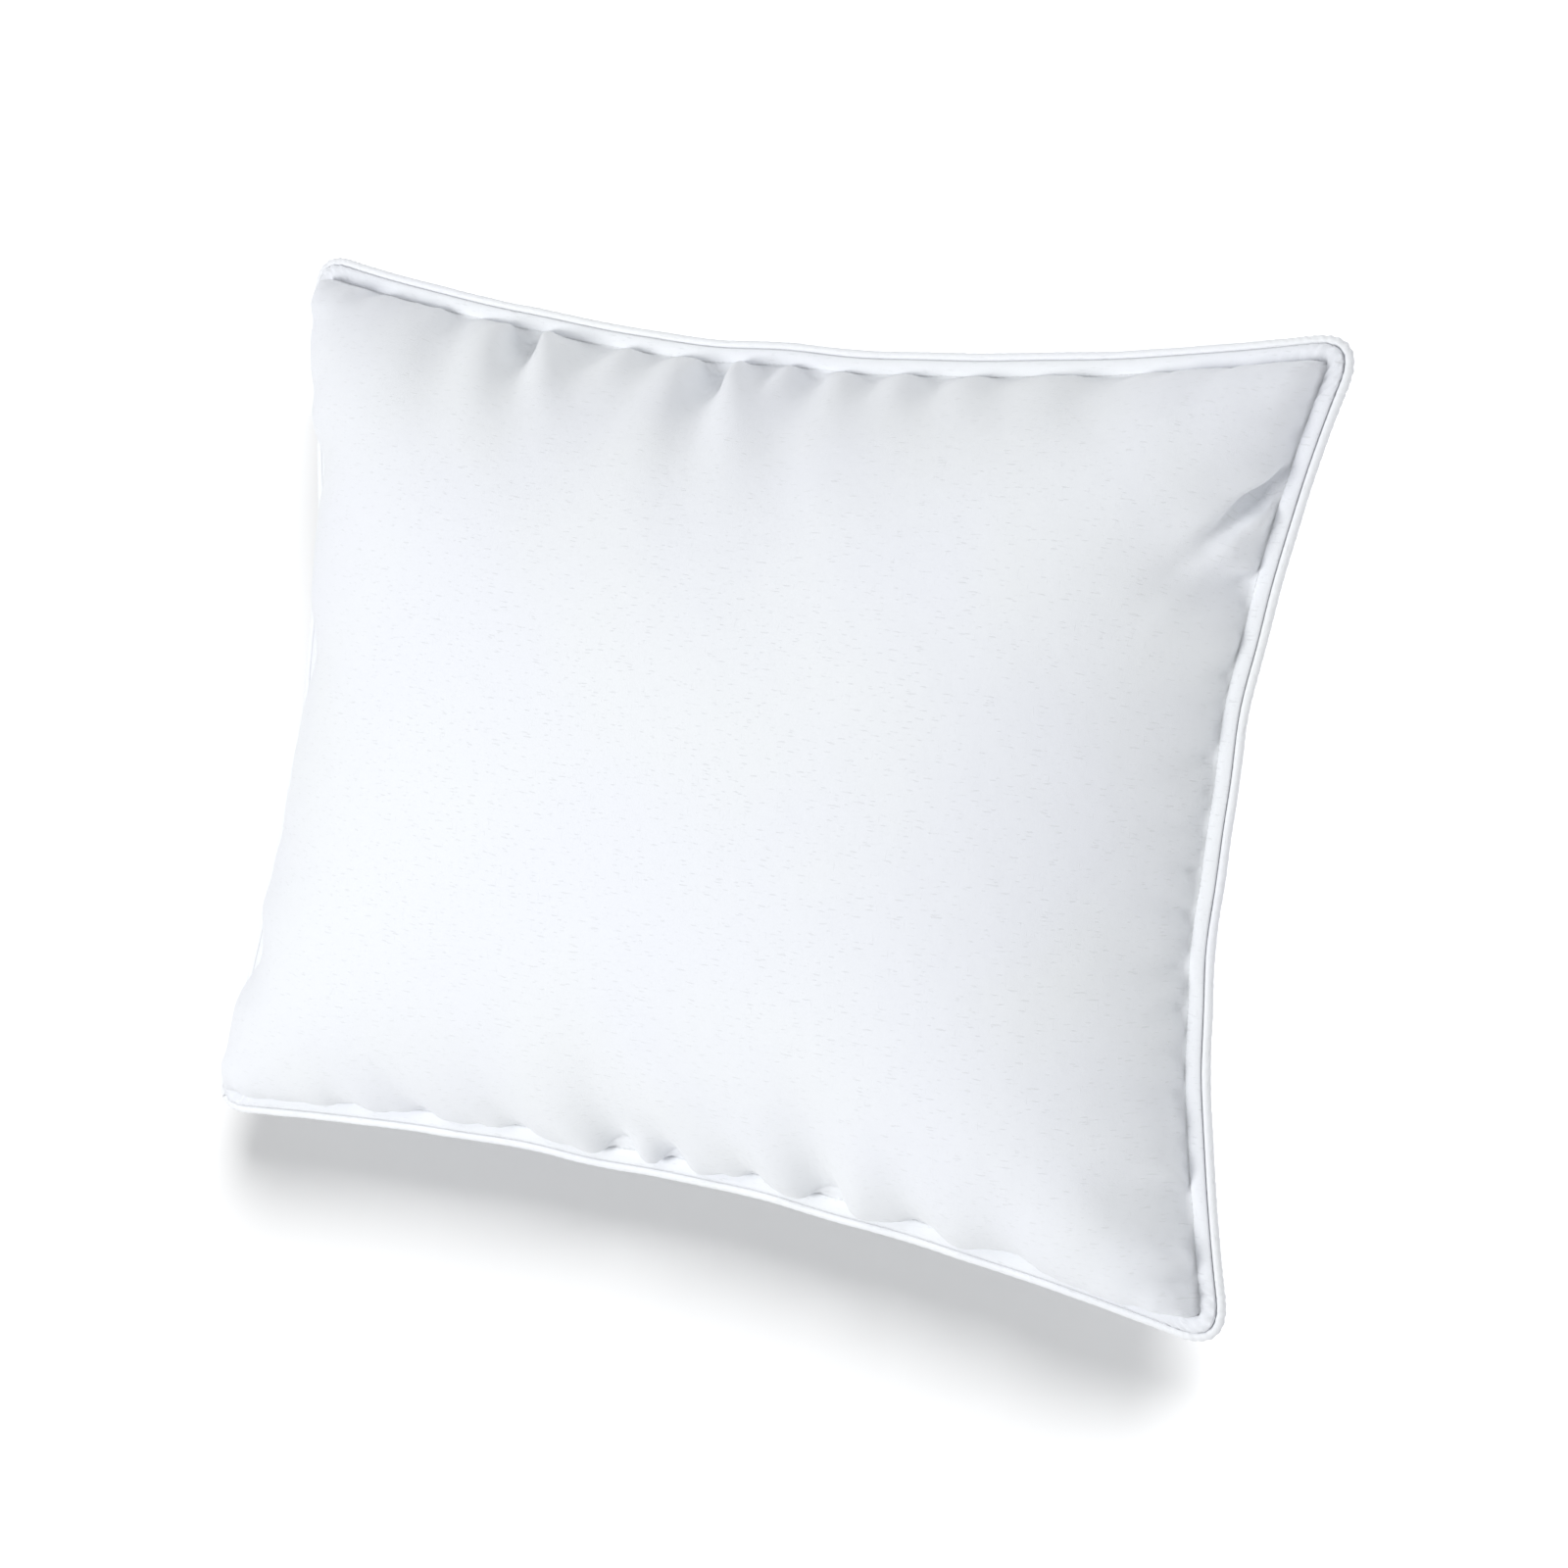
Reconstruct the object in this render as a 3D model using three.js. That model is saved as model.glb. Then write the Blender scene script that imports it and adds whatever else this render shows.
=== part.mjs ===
// A corded-edge bed pillow, lying face up on its flattened back.
//
// Two cotton ticking panels meet round a flat double-stitched flange. A bias-cut tape wraps a
// filler cord and is sewn between them, so the piping runs round the flange's outer edge, and a
// row of topstitching closes the flange's inner edge. The pocket inside holds one loose fibre fill.
//
// Millimetres, +Z up. X runs along the long edges and Y along the short ones. The origin is the
// middle of the flat patch that the pillow rests on.
import * as THREE from "three";
import { mergeVertices } from "three/addons/utils/BufferGeometryUtils.js";

// --- Driving dimensions -------------------------------------------------------------------------

const longSide = 630; // over the piping along X, between the tips that the corners are rounded from
const shortSide = 480; // the same, along Y
const longEdgeDraw = 26; // how far the fill pulls in the middle of each long edge
const shortEdgeDraw = 36; // the same, for each short edge
const cornerCut = 27; // length of edge that each rounded corner takes from its tip

const seamHeight = 64; // the seam plane above the surface that the pillow lies on
const frontCrown = 106; // the front panel's middle above the seam plane
const backCrown = 92; // how far the back would reach below the seam plane, were it not pressed flat
const edgeFullness = 3.0; // higher keeps the crown broad and its sides steep
const edgeRoundness = 0.54; // lower makes the panels leave the flange more steeply

const tickingWall = 0.6; // one layer of ticking, with its nap
const tapeWall = 0.5; // one leg of the bias tape
const layerGap = 0.35; // clearance between neighbouring layers
const fillerCordDiameter = 2.7;
const flangeWidth = 8; // from the piping to the topstitching
const rawEdgeSetback = 1.5; // the turned-under edges stop this far short of the topstitching
const threadDiameter = 0.5;
const closingLength = 180; // the stretch that was sewn shut after filling

const edgeSteps = 9; // facets along each edge
const cornerSteps = 5; // facets round each corner
const domeRings = 9; // rings of facets from the topstitching to the middle
const ringCrowding = 1.8; // higher gathers the rings towards the steep side
const tapeFacets = 9; // facets round the tape's outside
const boreFacets = 7; // facets round the tape's inside
const cordFacets = 6;
const threadFacets = 4;

// --- Values worked out from them ----------------------------------------------------------------

const fillerCordRadius = fillerCordDiameter / 2;
const pipingRadius = fillerCordRadius + layerGap + tapeWall;
const threadRadius = threadDiameter / 2;
const allowance = flangeWidth - rawEdgeSetback; // ticking and tape inside the flange
const tapeHalf = layerGap / 2 + tapeWall; // half the thickness of the tape's two legs
const allowanceLow = tapeHalf + layerGap; // the turned-under layer, above the tape
const allowanceHigh = allowanceLow + tickingWall;
const coverLow = allowanceHigh + layerGap; // the visible layer of the flange
const coverHigh = coverLow + tickingWall;
const threadHeight = coverHigh + layerGap + threadRadius; // threads lie on the flange
const stitchInset = pipingRadius + flangeWidth; // the topstitching, in from the piping's middle
const foldInset = pipingRadius + layerGap; // the ticking's fold, beside the piping

// --- Outline ------------------------------------------------------------------------------------

// The piping's middle line, seen from above: four drawn-in edges joined by rounded corners.
function pipingOutline() {
  const halfX = longSide / 2 - pipingRadius;
  const halfY = shortSide / 2 - pipingRadius;
  const tips = [
    new THREE.Vector2(-halfX, -halfY),
    new THREE.Vector2(halfX, -halfY),
    new THREE.Vector2(halfX, halfY),
    new THREE.Vector2(-halfX, halfY),
  ];
  const draws = [longEdgeDraw, shortEdgeDraw, longEdgeDraw, shortEdgeDraw];
  // Each edge is a quadratic curve, so its control point lies twice as far in as its middle.
  const edges = tips.map((tip, i) => {
    const next = tips[(i + 1) % tips.length];
    const inward = tip.clone().add(next).normalize().multiplyScalar(-2 * draws[i]);
    const control = tip.clone().lerp(next, 0.5).add(inward);
    return new THREE.QuadraticBezierCurve(tip, control, next);
  });
  const points = [];
  edges.forEach((edge, i) => {
    const cut = cornerCut / edge.getLength();
    for (let k = 0; k < edgeSteps; k++) {
      points.push(edge.getPointAt(cut + (k / edgeSteps) * (1 - 2 * cut)));
    }
    const following = edges[(i + 1) % edges.length];
    const corner = new THREE.QuadraticBezierCurve(
      edge.getPointAt(1 - cut),
      edge.v2,
      following.getPointAt(cornerCut / following.getLength()),
    );
    for (let k = 0; k < cornerSteps; k++) points.push(corner.getPoint(k / cornerSteps));
  });
  return points;
}

const outline = pipingOutline();

// The outward direction at each outline point, square to the line through its two neighbours.
const outward = outline.map((_, i) => {
  const before = outline[(i + outline.length - 1) % outline.length];
  const after = outline[(i + 1) % outline.length];
  return new THREE.Vector2(after.y - before.y, before.x - after.x).normalize();
});

// The outline moved in by a distance.
function insetRing(inset) {
  return outline.map((p, i) => p.clone().addScaledVector(outward[i], -inset));
}

// --- Solid builders -----------------------------------------------------------------------------

// A closed surface from rows of 3-D points. Each row is a loop; the rows join to one another in
// order, and the last joins the first (a ring solid) or both ends close on a middle point (a dome).
// Each four-sided facet is split from its outer row towards its inner one, whatever the rows'
// order, so that layers a small gap apart have the same facets and can't cut each other.
function loopSolid(rows, middles = null) {
  const count = rows[0].length;
  const vertices = rows.flat().flatMap((p) => [p.x, p.y, p.z]);
  const faces = [];
  const bands = middles ? rows.length - 1 : rows.length;
  const reachOf = (p) => Math.hypot(p.x, p.y);
  for (let r = 0; r < bands; r++) {
    const following = (r + 1) % rows.length;
    const low = r * count;
    const high = following * count;
    const outerFirst = reachOf(rows[r][0]) > reachOf(rows[following][0]);
    for (let i = 0; i < count; i++) {
      const j = (i + 1) % count;
      if (outerFirst) faces.push(low + i, low + j, high + j, low + i, high + j, high + i);
      else faces.push(low + i, low + j, high + i, low + j, high + j, high + i);
    }
  }
  if (middles) {
    const first = rows.length * count;
    middles.forEach((m) => vertices.push(m.x, m.y, m.z));
    const last = (rows.length - 1) * count;
    for (let i = 0; i < count; i++) {
      const j = (i + 1) % count;
      faces.push(first, j, i, first + 1, last + i, last + j);
    }
  }
  const geometry = new THREE.BufferGeometry();
  geometry.setAttribute("position", new THREE.Float32BufferAttribute(vertices, 3));
  geometry.setIndex(faces);
  return mergeVertices(geometry, 1e-4);
}

// A section of [inset, height] corners, swept once round the outline. Heights are from the seam
// plane. Corners run so that the solid's faces point out.
function sweptRing(section) {
  const rows = section.map(([inset, height]) =>
    insetRing(inset).map((p) => new THREE.Vector3(p.x, p.y, seamHeight + height)),
  );
  return loopSolid(rows);
}

// Section corners round [inset, height], from one angle to another in degrees. Zero points out of
// the pillow and 90 points up.
function arcCorners(inset, height, radius, from, to, steps) {
  const corners = [];
  for (let k = 0; k <= steps; k++) {
    const angle = THREE.MathUtils.degToRad(from + ((to - from) * k) / steps);
    corners.push([inset - radius * Math.cos(angle), height + radius * Math.sin(angle)]);
  }
  return corners;
}

// A whole round section with a number of facets.
function roundCorners(inset, height, radius, facets) {
  return arcCorners(inset, height, radius, 0, 360 - 360 / facets, facets - 1);
}

// --- The crowned panels -------------------------------------------------------------------------

const stitchRing = insetRing(stitchInset);
const crownHalfX = longSide / 2 - shortEdgeDraw - stitchInset; // to the short edges' middles
const crownHalfY = shortSide / 2 - longEdgeDraw - stitchInset; // to the long edges' middles

// A point of the topstitching moved towards the middle (0). The rings turn from the outline's
// shape to an ellipse on the way in, which rounds the crown and thins the corners.
function ringPoint(p, reach) {
  const toEllipse = 1 / Math.hypot(p.x / crownHalfX, p.y / crownHalfY);
  return p.clone().multiplyScalar(reach * THREE.MathUtils.lerp(toEllipse, 1, reach));
}

// How far a panel stands off the flange, as a share of its crown.
const crownShare = (reach) => Math.pow(1 - Math.pow(reach, edgeFullness), edgeRoundness);

// Ring shares from the topstitching to near the middle, closer together at the steep side.
const ringReaches = Array.from(
  { length: domeRings },
  (_, k) => 1 - Math.pow(k / domeRings, ringCrowding),
);

// One face of a panel: its rings, its middle, and the height that a given share of crown gives.
function crownedFace(heightOf, firstRing = 0) {
  const rows = ringReaches.slice(firstRing).map((reach) =>
    stitchRing.map((p) => {
      const point = ringPoint(p, reach);
      return new THREE.Vector3(point.x, point.y, heightOf(crownShare(reach)));
    }),
  );
  return { rows, middle: new THREE.Vector3(0, 0, heightOf(1)) };
}

// Heights of the front and the back, a given depth under the ticking's outer face. The back is
// pressed flat where it meets the surface that the pillow lies on.
const frontHeight = (share, depth) =>
  seamHeight + coverHigh - depth + (frontCrown - coverHigh) * share;
const backHeight = (share, depth) =>
  Math.max(0, seamHeight - coverHigh - (backCrown - coverHigh) * share) + depth;

// The flange part of a panel, from the visible face round the fold to the raw edge and back to
// the inside of the pocket. Side is 1 for the front and -1 for the back.
function flangeRings(side) {
  const at = (inset, height) =>
    insetRing(inset).map((p) => new THREE.Vector3(p.x, p.y, seamHeight + side * height));
  return [
    at(foldInset + tickingWall, coverHigh),
    at(foldInset, coverHigh - tickingWall),
    at(foldInset, allowanceLow + tickingWall),
    at(foldInset + tickingWall, allowanceLow),
    at(pipingRadius + allowance, allowanceLow),
    at(pipingRadius + allowance, allowanceHigh),
    at(foldInset + 2 * tickingWall, allowanceHigh),
    at(foldInset + 2 * tickingWall, coverLow),
  ];
}

// A ticking panel: its outer face from the middle to the topstitching, the flange with its
// turned-under allowance, and its inner face back to the middle.
function tickingPanel(side) {
  const heightOf = side > 0 ? frontHeight : backHeight;
  const outer = crownedFace((share) => heightOf(share, 0));
  const inner = crownedFace((share) => heightOf(share, tickingWall));
  const rows = [...outer.rows.reverse(), ...flangeRings(side), ...inner.rows];
  const middles = [outer.middle, inner.middle];
  if (side > 0) return loopSolid(rows.reverse(), middles.reverse());
  return loopSolid(rows, middles);
}

// The loose fibre fill: the pocket between the panels, less a clearance, from one ring inside the
// topstitching.
function fibreFill() {
  const depth = tickingWall + layerGap;
  const top = crownedFace((share) => frontHeight(share, depth), 1);
  const bottom = crownedFace((share) => backHeight(share, depth), 1);
  return loopSolid([...bottom.rows.reverse(), ...top.rows], [bottom.middle, top.middle]);
}

// --- Piping and threads -------------------------------------------------------------------------

// The bias tape, folded round the filler cord, with its two legs lying together in the flange.
function pipingTape() {
  const slit = layerGap / 2;
  const bore = pipingRadius - tapeWall;
  const openOut = THREE.MathUtils.radToDeg(Math.asin(tapeHalf / pipingRadius));
  const openIn = THREE.MathUtils.radToDeg(Math.asin(slit / bore));
  const legEnd = pipingRadius + allowance;
  return sweptRing([
    ...arcCorners(0, 0, pipingRadius, -180 + openOut, 180 - openOut, tapeFacets),
    [legEnd, tapeHalf],
    [legEnd, slit],
    ...arcCorners(0, 0, bore, 180 - openIn, -180 + openIn, boreFacets),
    [legEnd, -slit],
    [legEnd, -tapeHalf],
  ]);
}

function fillerCord() {
  return sweptRing(roundCorners(0, 0, fillerCordRadius, cordFacets));
}

// The thread that shows along the topstitching, on the front or the back of the flange. It lies
// just outside the panel's rise.
function topstitchThread(side) {
  const inset = stitchInset - layerGap - threadRadius;
  return sweptRing(roundCorners(inset, side * threadHeight, threadRadius, threadFacets));
}

// A run of thread along the left short edge, over the stretch that was sewn shut after filling.
function closingThread() {
  const inset = pipingRadius + flangeWidth / 2;
  const edge = insetRing(inset)
    .filter((p) => p.x < 0 && Math.abs(p.y) < shortSide / 2 - cornerCut)
    .sort((a, b) => a.y - b.y);
  const whole = new THREE.SplineCurve(edge);
  const from = 0.5 - closingLength / whole.getLength() / 2;
  const path = Array.from({ length: edgeSteps }, (_, k) => {
    const p = whole.getPointAt(from + (k / (edgeSteps - 1)) * (1 - 2 * from));
    return new THREE.Vector3(p.x, p.y, seamHeight + threadHeight);
  });
  const section = new THREE.Shape();
  section.absarc(0, 0, threadRadius, 0, 2 * Math.PI);
  return new THREE.ExtrudeGeometry(section, {
    steps: 2 * edgeSteps,
    curveSegments: threadFacets,
    extrudePath: new THREE.CatmullRomCurve3(path),
  });
}

// --- Assembly -----------------------------------------------------------------------------------

const pillow = new THREE.Group();

function addPiece(name, geometry, color, roughness) {
  const material = new THREE.MeshStandardMaterial({ color, roughness, metalness: 0 });
  const mesh = new THREE.Mesh(geometry, material);
  mesh.name = name;
  pillow.add(mesh);
}

addPiece("front_panel", tickingPanel(1), 0xf4f6fa, 0.72);
addPiece("back_panel", tickingPanel(-1), 0xf4f6fa, 0.72);
addPiece("fibre_fill", fibreFill(), 0xfbfbfb, 0.95);
addPiece("piping_tape", pipingTape(), 0xf6f8fb, 0.7);
addPiece("piping_filler_cord", fillerCord(), 0xf2efe8, 0.9);
addPiece("topstitch_needle_thread", topstitchThread(1), 0xf7f9fc, 0.55);
addPiece("topstitch_bobbin_thread", topstitchThread(-1), 0xf7f9fc, 0.55);
addPiece("closing_thread", closingThread(), 0xf7f9fc, 0.55);

export default pillow;
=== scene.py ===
"""A corded-edge bed pillow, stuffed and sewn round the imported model's frame.

The pillow lies face up on its flattened back. Metres, +Z up, +X along the long edges.
"""

import math

import bpy
import numpy as np
from mathutils import Matrix, Vector


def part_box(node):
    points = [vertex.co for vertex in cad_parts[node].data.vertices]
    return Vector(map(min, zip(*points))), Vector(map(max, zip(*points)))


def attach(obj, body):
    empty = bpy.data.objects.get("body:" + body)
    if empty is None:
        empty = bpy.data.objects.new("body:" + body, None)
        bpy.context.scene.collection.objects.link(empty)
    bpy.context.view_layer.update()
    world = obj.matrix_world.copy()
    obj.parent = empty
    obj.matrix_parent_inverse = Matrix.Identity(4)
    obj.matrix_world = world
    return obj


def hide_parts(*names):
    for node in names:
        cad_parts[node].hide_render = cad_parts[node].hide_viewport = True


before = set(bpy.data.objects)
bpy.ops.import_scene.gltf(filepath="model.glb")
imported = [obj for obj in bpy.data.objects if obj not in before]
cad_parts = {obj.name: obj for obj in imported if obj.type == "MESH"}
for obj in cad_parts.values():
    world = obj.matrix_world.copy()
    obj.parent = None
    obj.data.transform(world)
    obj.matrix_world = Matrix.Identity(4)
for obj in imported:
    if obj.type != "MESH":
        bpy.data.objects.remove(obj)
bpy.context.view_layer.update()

bl_info = {
    "name": "Corded-Edge Bed Pillow",
    "version": (1, 0, 0),
    "blender": (4, 5, 0),
    "location": "3D View > Sidebar > Pillow",
    "description": "Stuffs, pipes and topstitches a bed pillow round a packed frame",
    "category": "Add Mesh",
}

BODY = "root"
CLOTH_MAP = "cloth"  # the UV map that holds each vertex's place on the flat cloth, in metres

PIPING_LOW, PIPING_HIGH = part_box("piping_tape")
SEAM_HEIGHT = (PIPING_LOW.z + PIPING_HIGH.z) / 2
PIPING_RADIUS = (PIPING_HIGH.z - PIPING_LOW.z) / 2
CORD_LOW, CORD_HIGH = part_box("piping_filler_cord")
CORD_RADIUS = (CORD_HIGH.z - CORD_LOW.z) / 2
CROWN_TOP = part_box("front_panel")[1].z


# --- Sizes and colours --------------------------------------------------------------------------


def length(name, description, default):
    """A size in metres for the sidebar."""
    return bpy.props.FloatProperty(
        name=name, description=description, default=default, min=0.0, unit="LENGTH", precision=4
    )


def tint(name, description, default):
    """A linear colour for the sidebar."""
    limits = {"min": 0.0, "max": 1.0, "size": 3, "subtype": "COLOR"}
    return bpy.props.FloatVectorProperty(
        name=name, description=description, default=default, **limits
    )


class PillowSizes(bpy.types.PropertyGroup):
    """The sizes that the cover is cut and sewn to."""

    cut_long: length("Cut Length", "The cover's long side, sewn but not yet filled", 0.660)
    cut_short: length("Cut Width", "The cover's short side, sewn but not yet filled", 0.508)
    long_edge_draw: length("Long Edge Draw", "How far filling pulls in each long edge", 0.026)
    short_edge_draw: length("Short Edge Draw", "How far filling pulls in each short edge", 0.036)
    draw_uneven: length("Uneven Draw", "Drawn in more on the high Y side than on the low", 0.004)
    corner_cut: length("Corner Cut", "Edge taken from each tip by its rounding", 0.027)
    flange_width: length("Flange Width", "From the piping to the topstitching", 0.008)
    flange_half: length("Flange Half Thickness", "Seam plane to the flange's face", 0.0024)
    pinch_half: length("Stitched Half Thickness", "Seam plane to the face at the stitches", 0.0015)
    ticking_wall: length("Ticking Thickness", "One layer of ticking", 0.0006)
    stitch_length: length("Stitch Length", "One topstitch, needle hole to needle hole", 0.0028)
    thread_width: length("Thread Width", "The sewing thread's diameter", 0.0005)


class PillowColours(bpy.types.PropertyGroup):
    """The cloth and thread colours, as linear values."""

    ticking: tint("Ticking", "The panels' woven cotton", (0.90, 0.92, 0.945))
    piping: tint("Piping", "The bias tape round the cord", (0.93, 0.945, 0.96))
    thread: tint("Thread", "The topstitching thread", (0.90, 0.915, 0.935))
    fibre: tint("Fibre", "The loose fill", (0.92, 0.92, 0.92))
    filler_cord: tint("Filler Cord", "The cord inside the piping", (0.86, 0.85, 0.80))
    floor: tint("Floor", "The studio floor", (0.98, 0.98, 0.98))


def stitch_inset(sizes):
    """From the piping's middle line in to the topstitching."""
    return PIPING_RADIUS + sizes.flange_width


# --- Outlines -----------------------------------------------------------------------------------


def bezier(a, b, c, t):
    """Points on a quadratic curve, for an array of shares t."""
    t = np.asarray(t)[:, None]
    return (1 - t) ** 2 * a + 2 * t * (1 - t) * b + t**2 * c


def arc_lengths(points):
    """How far along a polyline each of its points lies."""
    steps = np.linalg.norm(np.diff(points, axis=0), axis=1)
    return np.concatenate([[0.0], np.cumsum(steps)])


def at_shares(points, shares):
    """Points along an open polyline, at shares of its length."""
    along = arc_lengths(points)
    where = np.asarray(shares) * along[-1]
    return np.stack([np.interp(where, along, points[:, k]) for k in range(points.shape[1])], 1)


CURVE_POINTS = 400  # along each side of an outline
CORNER_POINTS = CURVE_POINTS // 4  # along half a rounded corner


def rounded_sides(half_x, half_y, draws, cut):
    """Four sides of a drawn-in rectangle, anticlockwise from the bottom one, each from the middle
    of one rounded corner to the middle of the next."""
    tips = np.array([[-half_x, -half_y], [half_x, -half_y], [half_x, half_y], [-half_x, half_y]])
    runs = []
    for i in range(4):
        a, b = tips[i], tips[(i + 1) % 4]
        middle = (a + b) / 2
        control = middle - 2 * draws[i] * middle / np.linalg.norm(middle)
        curve = bezier(a, control, b, np.linspace(0, 1, CURVE_POINTS))
        share = cut / arc_lengths(curve)[-1]
        runs.append(at_shares(curve, np.linspace(share, 1 - share, CURVE_POINTS)))
    sides = []
    for i in range(4):
        before, after = runs[i - 1], runs[(i + 1) % 4]
        start = bezier(before[-1], tips[i], runs[i][0], np.linspace(0.5, 1, CORNER_POINTS))
        end = bezier(runs[i][-1], tips[(i + 1) % 4], after[0], np.linspace(0, 0.5, CORNER_POINTS))
        sides.append(np.concatenate([start, runs[i][1:-1], end]))
    return sides


def outward_ways(loop):
    """Unit directions square to a closed anticlockwise loop, away from its middle."""
    ahead = np.roll(loop, -1, 0) - np.roll(loop, 1, 0)
    outward = np.stack([ahead[:, 1], -ahead[:, 0]], 1)
    return outward / np.linalg.norm(outward, axis=1, keepdims=True)


def inset_sides(sides, inset):
    """The same four sides moved square to themselves towards the middle."""
    loop = np.concatenate([side[:-1] for side in sides])
    moved = loop - inset * outward_ways(loop)
    moved = np.concatenate([moved, moved[:1]])
    starts = np.cumsum([0] + [len(side) - 1 for side in sides])
    return [moved[a : b + 1] for a, b in zip(starts[:-1], starts[1:])]


WANDER = 0.0010  # how far the sewn edge strays from its smooth curve
WANDER_SEED = 60
WANDER_TURNS = (2, 3, 5, 8)


def wandered(side, seed):
    """A side with slow waves square to its run, none at its ends."""
    rng = np.random.default_rng(seed + WANDER_SEED)
    share = arc_lengths(side)
    share = share / share[-1]
    run = side[-1] - side[0]
    square = np.array([run[1], -run[0]]) / np.linalg.norm(run)
    waves = sum(
        np.sin(2 * np.pi * (turns * share + rng.uniform())) / turns**0.5 for turns in WANDER_TURNS
    )
    return side + WANDER * (waves * np.sin(np.pi * share) ** 2)[:, None] * square


def piping_sides(sizes):
    """The piping's middle line, sized so that its box is the frame's filler cord's."""
    target = np.array([CORD_HIGH.x - CORD_RADIUS, CORD_HIGH.y - CORD_RADIUS])
    half = target.copy()
    low, high = (sizes.long_edge_draw + sign * sizes.draw_uneven for sign in (-1, 1))
    draws = (low, sizes.short_edge_draw, high, sizes.short_edge_draw)
    for _ in range(3):
        sides = rounded_sides(*half, draws, sizes.corner_cut)
        half += target - np.abs(np.concatenate(sides)).max(0)
    return [wandered(side, seed) for seed, side in enumerate(sides)]


def pattern_sides(sizes):
    """The pocket inside the topstitching as it was cut and sewn flat."""
    inset = stitch_inset(sizes)
    half_x, half_y = sizes.cut_long / 2 - inset, sizes.cut_short / 2 - inset
    return rounded_sides(half_x, half_y, (0, 0, 0, 0), sizes.corner_cut - inset)


# --- Pocket grid --------------------------------------------------------------------------------

SIM_COLUMNS, SIM_ROWS = 136, 118  # grid lines along X and Y while the cloth is simulated
COLUMNS, ROWS = 222, 186  # and in the finished panels
CROWDING = 0.55  # how much closer the grid lines lie near the stitching


def crowded_shares(count):
    """Shares from 0 to 1, closer together at both ends."""
    middles = (np.arange(count - 1) + 0.5) / (count - 1) * 2 - 1
    steps = 1 - CROWDING * np.abs(middles) ** 3
    return np.concatenate([[0.0], np.cumsum(steps) / steps.sum()])


def patch(sides, u, v):
    """Points inside four sides at two grids of shares, u along X and v along Y."""
    bottom, right = at_shares(sides[0], u.ravel()), at_shares(sides[1], v.ravel())
    top, left = at_shares(sides[2][::-1], u.ravel()), at_shares(sides[3][::-1], v.ravel())
    tips = [sides[k][0] for k in range(4)]
    u_flat, v_flat = u.ravel()[:, None], v.ravel()[:, None]
    across = (1 - v_flat) * bottom + v_flat * top
    along = (1 - u_flat) * left + u_flat * right
    tie = (1 - v_flat) * ((1 - u_flat) * tips[0] + u_flat * tips[1])
    tie = tie + v_flat * ((1 - u_flat) * tips[3] + u_flat * tips[2])
    return (across + along - tie).reshape(*u.shape, 2)


def flat_grid(sizes, columns, rows):
    """The grid on one panel as it was cut, evenly laid along the cloth."""
    u, v = np.meshgrid(crowded_shares(columns), crowded_shares(rows))
    return patch(pattern_sides(sizes), u, v)


CROWN_POWER = 3.0  # higher keeps the crown broad and its sides steep
SECTION_POINTS = 721
LEAST_RISE = 1e-6  # stands for no height at all, where a height is divided by


def bulge(share):
    """The crown's height across one direction, from 0 at both edges to 1 in the middle."""
    return np.sqrt(np.maximum(1 - np.abs(2 * share - 1) ** CROWN_POWER, 0.0))


def section_shares(count, width, heights):
    """Where a stuffed panel's grid lines lie across its width, from 0 to 1, when they keep their
    spacing along the cloth: one row for each of the sections' heights."""
    across = (np.sin(np.linspace(-np.pi / 2, np.pi / 2, SECTION_POINTS)) + 1) / 2
    rise = bulge(across)
    rows = []
    for height in heights:
        steps = np.hypot(np.diff(across) * width, np.diff(rise) * height)
        run = np.concatenate([[0.0], np.cumsum(steps)])
        rows.append(np.interp(crowded_shares(count), run / run[-1], across))
    return np.array(rows)


def stuffed_grid(sizes, crown, columns, rows):
    """Plan places and heights of a stuffed panel's grid, crown high in the middle."""
    sides = inset_sides(piping_sides(sizes), stitch_inset(sizes))
    span = np.ptp(np.concatenate(sides), axis=0)
    middle_u = section_shares(columns, span[0], [crown])[0]
    middle_v = section_shares(rows, span[1], [crown])[0]
    u = section_shares(columns, span[0], crown * bulge(middle_v))
    v = section_shares(rows, span[1], crown * bulge(middle_u)).T
    along, across = np.maximum(bulge(u), LEAST_RISE), np.maximum(bulge(v), LEAST_RISE)
    rise = 1 / np.sqrt(1 / along**2 + 1 / across**2 - 1)
    return patch(sides, u, v), crown * rise * (rise > 2 * LEAST_RISE)


def grid_normals(points):
    """Upward unit normals of a grid of points."""
    along = np.gradient(points, axis=1)
    across = np.gradient(points, axis=0)
    normals = np.cross(along, across)
    return normals / np.maximum(np.linalg.norm(normals, axis=2, keepdims=True), 1e-12)


def edge_gaps(pattern):
    """How far each grid point lies from the short edges and from the long edges, on the cloth."""
    reach = np.abs(pattern.reshape(-1, 2)).max(0)
    gaps = np.maximum(reach - np.abs(pattern), 0)
    return gaps[..., 0], gaps[..., 1]


# How far the stuffed cloth swells out over the flange: low and high X side, low and high Y side.
OVERHANGS = ((0.0030, 0.0012), (0.0062, 0.0006))
OVERHANG_HEIGHT = 0.010  # along the cloth from the stitching to its widest place
ROLL = 0.0020  # the cloth's small swelling just above the stitching
ROLL_HEIGHT = 0.0032
OVERHANG_END = 0.012  # both die away this close to the corners


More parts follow.
